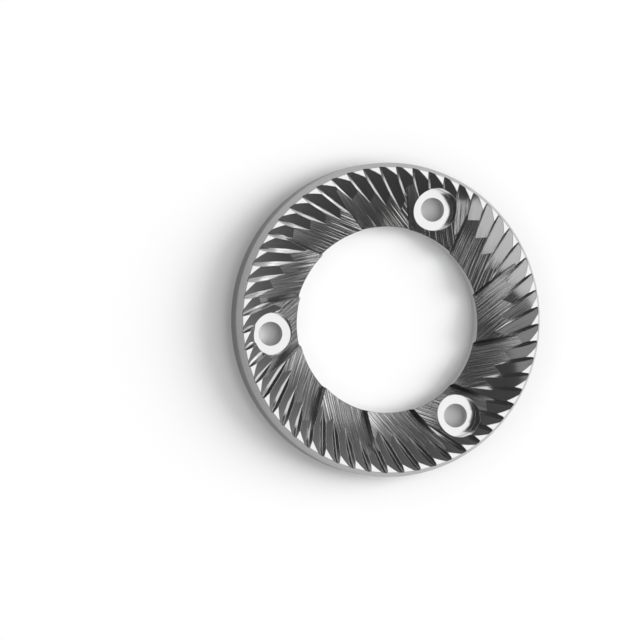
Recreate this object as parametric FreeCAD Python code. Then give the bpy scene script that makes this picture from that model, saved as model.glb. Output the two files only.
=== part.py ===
import FreeCAD, Part
import math
import os

from FreeCAD import Vector

# Flat grinding burr, one ring of hardened steel.
# Millimetres and degrees. The back face lies on z = 0, the teeth face +Z,
# and the origin is the centre of the back face.

# Ring
outer_diameter = 64.0
bore_diameter = 38.0
thickness = 7.0
rim_wall_height = 4.7
rim_cone_width = 0.93
back_edge_chamfer = 0.3

# Prebreaker segments: broad sloping channels round the bore, each ending
# at a low wall that faces clockwise
segment_count = 12
segment_first_direction = 40.1
segment_offset = 8.0
segment_wall_angle = 75.0
segment_cross_angle = 19.1
segment_wheel_radius = 35.5
segment_wheel_lead = 8.15
segment_depth = 5.56

# Cutting teeth: V-shaped grooves that sweep in from the rim
tooth_count = 56
tooth_first_direction = 54.8
tooth_offset = 12.9
tooth_wall_angle = 56.0
tooth_back_angle = 27.0
tooth_wheel_radius = 33.8
tooth_wheel_lead = 10.6
tooth_groove_depth = 2.09

# Counterbored screw holes
hole_count = 3
hole_first_direction = 66.65
hole_circle_diameter = 49.0
hole_diameter = 4.8
counterbore_diameter = 8.65
counterbore_floor_height = 2.7

# How far a cutting shape runs past the surface that it cuts
cut_clearance = 1.0

outer_radius = outer_diameter / 2
bore_radius = bore_diameter / 2
land_radius = outer_radius - rim_cone_width
axis = Vector(0, 0, 1)
origin = Vector(0, 0, 0)


def closed_face(points):
    return Part.Face(Part.makePolygon(points + points[:1]))


def turned(shape, angle):
    copy = shape.copy()
    copy.rotate(origin, axis, angle)
    return copy


def along_line(radius, offset):
    """Distance along a line that passes the ring's axis at an offset, out to a radius."""
    return math.sqrt(radius ** 2 - offset ** 2)


def turned_ring():
    """The ring as it leaves the lathe: plain wall, steep cone, flat face, bore, broken back edges."""
    outline = [
        Vector(bore_radius + back_edge_chamfer, 0, 0),
        Vector(outer_radius - back_edge_chamfer, 0, 0),
        Vector(outer_radius, 0, back_edge_chamfer),
        Vector(outer_radius, 0, rim_wall_height),
        Vector(land_radius, 0, thickness),
        Vector(bore_radius, 0, thickness),
        Vector(bore_radius, 0, back_edge_chamfer),
    ]
    return closed_face(outline).revolve(origin, axis, 360)


def profiled_wheel(wheel_radius, centre_x, offset, floor, wall_angle, slope_angle):
    """A cutting wheel whose edge is a V: a steep flank on the left, a shallow flank on the right.

    The wheel runs outwards along X at the offset to the right of the ring's axis, and its edge
    reaches down to the floor height.
    """
    rise = thickness - floor + cut_clearance
    wall_run = rise / math.tan(math.radians(wall_angle))
    slope_run = rise / math.tan(math.radians(slope_angle))
    edge = [
        Vector(centre_x, -offset, floor),
        Vector(centre_x, -offset + wall_run, floor + rise),
        Vector(centre_x, -offset - slope_run, floor + rise),
    ]
    hub = Vector(centre_x, -offset, floor + wheel_radius)
    return closed_face(edge).revolve(hub, Vector(0, 1, 0), 360)


def segment_sector():
    """The wedge of the ring, between two neighbouring step lines, that one segment takes up."""
    step = math.radians(360 / segment_count)
    wall_run = 2 * thickness / math.tan(math.radians(segment_wall_angle))
    reach = outer_diameter
    bottom = -cut_clearance
    next_foot = Vector(-math.sin(step), -math.cos(step), 0) * segment_offset
    next_line = Vector(math.cos(step), -math.sin(step), 0) * reach
    corners = [
        Vector(0, wall_run - segment_offset, bottom),
        Vector(reach, wall_run - segment_offset, bottom),
        next_foot + next_line + Vector(0, 0, bottom),
        next_foot + Vector(0, 0, bottom),
    ]
    return closed_face(corners).extrude(Vector(0, 0, 2 * thickness))


def segment_cutter():
    wheel = profiled_wheel(
        segment_wheel_radius,
        along_line(bore_radius, segment_offset) - segment_wheel_lead,
        segment_offset,
        thickness - segment_depth,
        segment_wall_angle,
        segment_cross_angle,
    )
    return wheel.common(segment_sector())


def tooth_cutter():
    return profiled_wheel(
        tooth_wheel_radius,
        along_line(land_radius, tooth_offset) - tooth_wheel_lead,
        tooth_offset,
        thickness - tooth_groove_depth,
        tooth_wall_angle,
        tooth_back_angle,
    )


def screw_hole_cutter():
    place = Vector(hole_circle_diameter / 2, 0, -cut_clearance)
    seat = Vector(hole_circle_diameter / 2, 0, counterbore_floor_height)
    through = Part.makeCylinder(hole_diameter / 2, thickness + 2 * cut_clearance, place)
    counterbore = Part.makeCylinder(counterbore_diameter / 2, thickness, seat)
    return through.fuse(counterbore)


def cut_around(ring, cutter, first_direction, count):
    for index in range(count):
        ring = ring.cut(turned(cutter, first_direction + index * 360 / count))
    return ring


def grinding_burr():
    burr = turned_ring()
    burr = cut_around(burr, segment_cutter(), segment_first_direction, segment_count)
    burr = cut_around(burr, tooth_cutter(), tooth_first_direction, tooth_count)
    burr = cut_around(burr, screw_hole_cutter(), hole_first_direction, hole_count)
    return burr


os.makedirs("parts", exist_ok=True)
burr = grinding_burr()
burr.exportStep("parts/grinding_burr.step")
print("grinding_burr", burr.isValid(), len(burr.Solids), "solids", len(burr.Faces), "faces",
      round(burr.Volume, 1), "mm3")
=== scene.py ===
import math
import bmesh
import bpy
from mathutils import Matrix, Vector

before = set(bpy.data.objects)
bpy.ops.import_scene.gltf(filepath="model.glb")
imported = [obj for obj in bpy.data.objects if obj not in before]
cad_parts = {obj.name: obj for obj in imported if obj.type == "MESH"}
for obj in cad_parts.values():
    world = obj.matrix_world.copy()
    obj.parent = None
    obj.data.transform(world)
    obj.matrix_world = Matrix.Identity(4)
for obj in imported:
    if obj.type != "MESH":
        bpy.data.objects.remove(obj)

scene = bpy.context.scene
for name in ("Cube", "Light", "Camera"):
    if name in bpy.data.objects:
        bpy.data.objects.remove(bpy.data.objects[name])
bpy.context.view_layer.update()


# The burr's steel
# The burr is one ring of hardened tool steel with no coating. The lathe leaves fine rings on the
# outer wall, the cutter leaves lines along the channels, and the flat lands, tooth faces and
# counterbore floors are ground bright.
steel = bpy.data.materials.new("tool_steel_finish")
steel.use_nodes = True
tree = steel.node_tree
tree.nodes.clear()
output = tree.nodes.new("ShaderNodeOutputMaterial")
shader = tree.nodes.new("ShaderNodeBsdfPrincipled")
tree.links.new(shader.outputs["BSDF"], output.inputs["Surface"])
shader.inputs["Metallic"].default_value = 1.0


def connect(value, socket):
    if isinstance(value, (int, float)):
        socket.default_value = value
    else:
        tree.links.new(value, socket)


def calc(operation, *values, clamp=False):
    node = tree.nodes.new("ShaderNodeMath")
    node.operation = operation
    node.use_clamp = clamp
    for value, socket in zip(values, node.inputs):
        connect(value, socket)
    return node.outputs[0]


def plus(*values):
    total = values[0]
    for value in values[1:]:
        total = calc("ADD", total, value)
    return total


def times(*values):
    product = values[0]
    for value in values[1:]:
        product = calc("MULTIPLY", product, value)
    return product


def minus(a, b):
    return calc("SUBTRACT", a, b)


def near(value, target, width):
    """1 where a value is within a width of its target, else 0."""
    return calc("COMPARE", value, target, width)


def above(value, limit):
    return calc("GREATER_THAN", value, limit)


def below(value, limit):
    return calc("LESS_THAN", value, limit)


def outside(mask):
    return minus(1.0, mask)


def pick(mask, inside, elsewhere):
    node = tree.nodes.new("ShaderNodeMix")
    connect(mask, node.inputs[0])
    connect(elsewhere, node.inputs[2])
    connect(inside, node.inputs[3])
    return node.outputs[0]


def noise(x, y, z, detail=2.0, roughness=0.6):
    """Noise between 0 and 1 at a point made of three numbers."""
    place = tree.nodes.new("ShaderNodeCombineXYZ")
    for value, socket in zip((x, y, z), place.inputs):
        connect(value, socket)
    node = tree.nodes.new("ShaderNodeTexNoise")
    node.inputs["Scale"].default_value = 1.0
    node.inputs["Detail"].default_value = detail
    node.inputs["Roughness"].default_value = roughness
    tree.links.new(place.outputs[0], node.inputs["Vector"])
    return node.outputs[0]


# Place on the ring in millimetres, and its distance and direction from the axis
coordinates = tree.nodes.new("ShaderNodeTexCoord")
in_mm = tree.nodes.new("ShaderNodeVectorMath")
in_mm.operation = "SCALE"
in_mm.inputs["Scale"].default_value = 1000.0
tree.links.new(coordinates.outputs["Object"], in_mm.inputs[0])
split = tree.nodes.new("ShaderNodeSeparateXYZ")
tree.links.new(in_mm.outputs[0], split.inputs[0])
x, y, z = split.outputs
radius = calc("SQRT", plus(times(x, x), times(y, y)))
direction = calc("ARCTAN2", y, x)


def along_pattern(pattern, choice="CEIL"):
    """Distances along and beside one of a ring of lines that pass the axis at an offset, with the
    number of that line: the next one anticlockwise, or with ROUND the nearest one. The distance
    beside it grows clockwise."""
    step = 2 * math.pi / pattern["count"]
    lead = calc("ARCSINE", calc("DIVIDE", pattern["offset"], radius))
    from_first = minus(direction, math.radians(pattern["first_direction"]))
    index = calc(choice, calc("DIVIDE", plus(from_first, lead), step))
    angle = minus(from_first, times(index, step))
    along = times(radius, calc("COSINE", angle))
    beside = minus(times(radius, calc("SINE", angle), -1.0), pattern["offset"])
    return along, beside, index


# The cuts in the face: how many, the direction of the first in degrees, and how far its line passes
# the axis in millimetres
channels = {"count": 12, "first_direction": 40.1, "offset": 8.0}
teeth = {"count": 56, "first_direction": 54.8, "offset": 12.9}
channel_along, channel_beside, channel_index = along_pattern(channels)
tooth_along, tooth_beside, tooth_index = along_pattern(teeth)


def height_error(along, beside, wheel_radius, wheel_centre, lowest, cross_slope):
    """How far a point is above or below the face that a wheel cuts, in millimetres. The centre is the
    wheel's place along the line, and the slope is that of its edge across the cut."""
    reach = minus(wheel_radius, times(beside, cross_slope))
    from_centre = minus(along, wheel_centre)
    drop = calc("SQRT", minus(times(reach, reach), times(from_centre, from_centre)))
    height = minus(lowest + wheel_radius, drop)
    return calc("ABSOLUTE", minus(z, height))


channel_error = height_error(
    channel_along, channel_beside, wheel_radius=35.5, wheel_centre=9.084, lowest=1.44, cross_slope=0.3463
)
tooth_error = height_error(
    tooth_along, tooth_beside, wheel_radius=33.8, wheel_centre=17.665, lowest=4.91, cross_slope=0.5095
)

# Where each surface lies, in millimetres. The limits leave a few hundredths for the mesh's flat facets.
FACET_ERROR = 0.15
LAND_HEIGHT, LAND_RADIUS = 6.985, 31.09
CONE_HEIGHT, CONE_RADIUS = 4.69, 31.05
WALL_HEIGHT, WALL_RADIUS = 4.71, 31.97
COUNTERBORE_HEIGHT, COUNTERBORE_MARGIN = 2.7, 0.005
channel = times(below(channel_error, FACET_ERROR), below(channel_error, tooth_error))
land = times(above(z, LAND_HEIGHT), below(radius, LAND_RADIUS))
cone = times(above(radius, CONE_RADIUS), above(z, CONE_HEIGHT), outside(land))
outer_wall = times(above(radius, WALL_RADIUS), below(z, WALL_HEIGHT))
counterbore_floor = near(z, COUNTERBORE_HEIGHT, COUNTERBORE_MARGIN)
ground = calc("MAXIMUM", land, counterbore_floor)

# Painted shade on the low wall between two channels and in the corner at its foot. It fades out away from
# the bore, and the bore's own wall and the back have none of it.
STEP_MIDDLE, STEP_HALF_WIDTH = -0.12, 0.32
STEP_TOP, STEP_BOTTOM = 6.5, 0.35
STEP_END_RADIUS, STEP_FADE_PER_MM = 28.0, 0.16
BORE_WALL_RADIUS = 19.02
beside_step = along_pattern(channels, "ROUND")[1]
step_painted_shade = times(
    near(beside_step, STEP_MIDDLE, STEP_HALF_WIDTH),
    below(z, STEP_TOP),
    above(z, STEP_BOTTOM),
    above(radius, BORE_WALL_RADIUS),
    calc("MULTIPLY", minus(STEP_END_RADIUS, radius), STEP_FADE_PER_MM, clamp=True),
    outside(counterbore_floor),
)


def tool_lines(along, beside, index, per_mm, drift, shift):
    """Lines that run along a cut, so many to a millimetre beside it. They drift slowly, and each cut
    has its own."""
    return noise(times(beside, per_mm), times(along, drift), times(index, shift))


# Milling lines along the channels, finer grinding lines along the tooth faces, rings on the outer wall
# and marks across the cone
channel_lines = tool_lines(channel_along, channel_beside, channel_index, per_mm=2.8, drift=0.05, shift=5.3)
tooth_lines = tool_lines(tooth_along, tooth_beside, tooth_index, per_mm=1.6, drift=0.08, shift=3.1)
RINGS_PER_MM, RING_DRIFT = 4.0, 0.6
MARKS_PER_RADIAN, MARK_DRIFT, MARK_SHIFT = 60.0, 0.3, 4.0
wall_rings = noise(times(z, RINGS_PER_MM), times(direction, RING_DRIFT), 0.0)
cone_marks = noise(times(direction, MARKS_PER_RADIAN), times(z, MARK_DRIFT), MARK_SHIFT, roughness=0.7)
CLOUDS_PER_MM = 0.25
cloud = noise(times(x, CLOUDS_PER_MM), times(y, CLOUDS_PER_MM), times(z, CLOUDS_PER_MM), detail=3.0)
cloud = minus(cloud, 0.5)


def by_surface(in_channels, on_cone, on_wall, on_teeth):
    return pick(channel, in_channels, pick(cone, on_cone, pick(outer_wall, on_wall, on_teeth)))


lines = by_surface(channel_lines, cone_marks, wall_rings, tooth_lines)
line_depth = by_surface(in_channels=1.0, on_cone=0.15, on_wall=0.15, on_teeth=0.12)
line_depth = times(line_depth, outside(ground))

# Ground faces mirror, milled ones are duller
GROUND_ROUGHNESS, CLOUD_IN_ROUGHNESS = 0.16, 0.08
plain_roughness = by_surface(in_channels=0.20, on_cone=0.22, on_wall=0.20, on_teeth=0.11)
roughness = plus(pick(ground, GROUND_ROUGHNESS, plain_roughness), times(cloud, CLOUD_IN_ROUGHNESS))
tree.links.new(roughness, shader.inputs["Roughness"])

# Steel grey, a little darker between the lines. The turned cone and outer wall are darkened as a painted
# dark reflection, and the low walls between the channels and the corners at their feet carry painted
# shade.
STEEL_GREY, GROUND_GREY = 0.74, 0.73
CLOUD_IN_GREY, LINES_IN_GREY = 0.06, 0.6
WALL_PAINTED_SHADE, CONE_PAINTED_SHADE, STEP_PAINTED_SHADE = 0.34, 0.50, 0.6
shade = plus(
    STEEL_GREY,
    times(cloud, CLOUD_IN_GREY),
    times(minus(lines, 0.5), line_depth, LINES_IN_GREY),
)
# Painted shade: the cone and the outer wall are darkened, standing in for the dark things they mirror
shade = times(shade, pick(outer_wall, WALL_PAINTED_SHADE, pick(cone, CONE_PAINTED_SHADE, 1.0)))
# Painted shade on the low walls between the channels and in the corners at their feet
shade = times(shade, minus(1.0, times(step_painted_shade, STEP_PAINTED_SHADE)))
shade = pick(ground, GROUND_GREY, shade)
colour = tree.nodes.new("ShaderNodeCombineColor")
for socket in colour.inputs[:3]:
    tree.links.new(shade, socket)
tree.links.new(colour.outputs[0], shader.inputs["Base Color"])

# Edges are broken by a hair, and the lines are cut into the surface, in metres
EDGE_RADIUS = 0.00013
LINE_CUT = 0.00010
edge = tree.nodes.new("ShaderNodeBevel")
edge.samples = 8
edge.inputs["Radius"].default_value = EDGE_RADIUS
relief = tree.nodes.new("ShaderNodeBump")
relief.inputs["Distance"].default_value = LINE_CUT
relief.inputs["Strength"].default_value = 1.0
tree.links.new(times(lines, line_depth), relief.inputs["Height"])
tree.links.new(edge.outputs[0], relief.inputs["Normal"])
tree.links.new(relief.outputs[0], shader.inputs["Normal"])

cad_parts["grinding_burr"].material_slots[0].material = steel


# The table
# A plain matt white table top, 3 m across, which the burr lies on. It is seen through the bore and
# the screw holes.
TABLE_HALF_WIDTH = 1.5
TABLE_WHITE = (0.97, 0.97, 0.97, 1)
table_mesh = bpy.data.meshes.new("table")
table_shape = bmesh.new()
bmesh.ops.create_grid(table_shape, x_segments=1, y_segments=1, size=TABLE_HALF_WIDTH)
table_shape.to_mesh(table_mesh)
table_shape.free()
table = bpy.data.objects.new("table", table_mesh)
scene.collection.objects.link(table)
table_paint = bpy.data.materials.new("white_table")
table_paint.use_nodes = True
paint = table_paint.node_tree.nodes["Principled BSDF"]
paint.inputs["Base Color"].default_value = TABLE_WHITE
paint.inputs["Roughness"].default_value = 0.9
paint.inputs["Specular IOR Level"].default_value = 0.1
table_mesh.materials.append(table_paint)


# Studio light
# A softbox above to the right and pale panels round it, all of which the steel mirrors, and a low soft
# window light from the right that gives the shadows. The room darkens upwards, for contrast in the steel.
def area_lamp(name, place, size, watts, target=(0, 0, 0)):
    lamp = bpy.data.lights.new(name, "AREA")
    lamp.shape = "RECTANGLE"
    lamp.size, lamp.size_y = size
    lamp.energy = watts
    holder = bpy.data.objects.new(name, lamp)
    scene.collection.objects.link(holder)
    holder.location = place
    holder.rotation_euler = (Vector(target) - Vector(place)).to_track_quat("-Z", "Y").to_euler()


area_lamp("softbox", place=(0.40, 0.0, 1.0), size=(0.70, 1.10), watts=2.85, target=(0.40, 0.0, 0))
area_lamp("left_panel", place=(-0.833, 0.117, 0.856), size=(1.00, 0.31), watts=0.58)
area_lamp("back_left_panel", place=(-0.446, 0.772, 0.803), size=(0.55, 0.20), watts=0.08)
area_lamp("back_panel", place=(0.362, 0.681, 0.919), size=(0.55, 0.18), watts=0.15)
area_lamp("right_panel", place=(0.776, 0.208, 0.892), size=(0.95, 0.33), watts=0.70)
area_lamp("front_right_panel", place=(0.633, -0.365, 0.952), size=(0.38, 0.31), watts=0.22)

# The window light falls leftwards and isn't mirrored
WINDOW_DIRECTION = Vector((-1.0, -0.12, -0.6))
window = bpy.data.lights.new("window_light", "SUN")
window.energy = 2.4
window.angle = math.radians(40)
window_light = bpy.data.objects.new("window_light", window)
scene.collection.objects.link(window_light)
window_light.rotation_euler = WINDOW_DIRECTION.to_track_quat("-Z", "Y").to_euler()
window_light.visible_glossy = False

# The room lights matt things evenly. In the steel it goes from grey at the horizon to nearly black
# overhead: each stop is a height, from 0 at the horizon to 1 overhead, and a grey.
ROOM_STRENGTH = 0.5
ROOM_STOPS = ((0.0, 0.50), (0.17, 0.31), (0.34, 0.15), (0.50, 0.08), (0.65, 0.05), (0.75, 0.04))
world = bpy.data.worlds.new("studio")
scene.world = world
world.use_nodes = True
sky = world.node_tree
sky.nodes.clear()
sky_output = sky.nodes.new("ShaderNodeOutputWorld")
even_room = sky.nodes.new("ShaderNodeBackground")
even_room.inputs["Strength"].default_value = ROOM_STRENGTH
mirrored_room = sky.nodes.new("ShaderNodeBackground")
sky_direction = sky.nodes.new("ShaderNodeTexCoord")
sky_split = sky.nodes.new("ShaderNodeSeparateXYZ")
sky_grey = sky.nodes.new("ShaderNodeValToRGB")
while len(sky_grey.color_ramp.elements) < len(ROOM_STOPS):
    sky_grey.color_ramp.elements.new(0.5)
for element, (height, grey) in zip(sky_grey.color_ramp.elements, ROOM_STOPS):
    element.position = height
    element.color = (grey, grey, grey, 1)
either_room = sky.nodes.new("ShaderNodeMixShader")
ray = sky.nodes.new("ShaderNodeLightPath")
sky.links.new(sky_direction.outputs["Generated"], sky_split.inputs[0])
sky.links.new(sky_split.outputs["Z"], sky_grey.inputs[0])
sky.links.new(sky_grey.outputs["Color"], mirrored_room.inputs["Color"])
sky.links.new(ray.outputs["Is Glossy Ray"], either_room.inputs[0])
sky.links.new(even_room.outputs[0], either_room.inputs[1])
sky.links.new(mirrored_room.outputs[0], either_room.inputs[2])
sky.links.new(either_room.outputs[0], sky_output.inputs["Surface"])
scene.view_settings.view_transform = "Standard"


# Camera
# It looks down from nearly a metre, tilted 14 degrees to the left of the ring's axis, as the photograph
# does. The ring's centre falls on its own pixel of a square picture.
TILT = math.radians(14.03)
TURN = math.radians(-1.66)
PIXELS_PER_MM = 4.88576
CAMERA_DISTANCE_MM = 940.3
RING_CENTRE_X, RING_CENTRE_Y = 383.164, 319.639
PICTURE_SIZE = 640
SENSOR_WIDTH = 36
tilt_axis = Vector((-math.sin(TURN), math.cos(TURN), 0))
to_camera = Matrix.Rotation(TILT, 3, tilt_axis)
from_camera = to_camera.transposed()
camera_place = from_camera @ Vector((
    (PICTURE_SIZE / 2 - RING_CENTRE_X) / PIXELS_PER_MM,
    (RING_CENTRE_Y - PICTURE_SIZE / 2) / PIXELS_PER_MM,
    CAMERA_DISTANCE_MM,
))
camera_data = bpy.data.cameras.new("camera")
camera_data.sensor_width = SENSOR_WIDTH
camera_data.lens = PIXELS_PER_MM * CAMERA_DISTANCE_MM / PICTURE_SIZE * SENSOR_WIDTH
camera_data.clip_start = 0.01
camera = bpy.data.objects.new("camera", camera_data)
scene.collection.objects.link(camera)
camera.matrix_world = Matrix.Translation(camera_place / 1000) @ from_camera.to_4x4()
scene.camera = camera
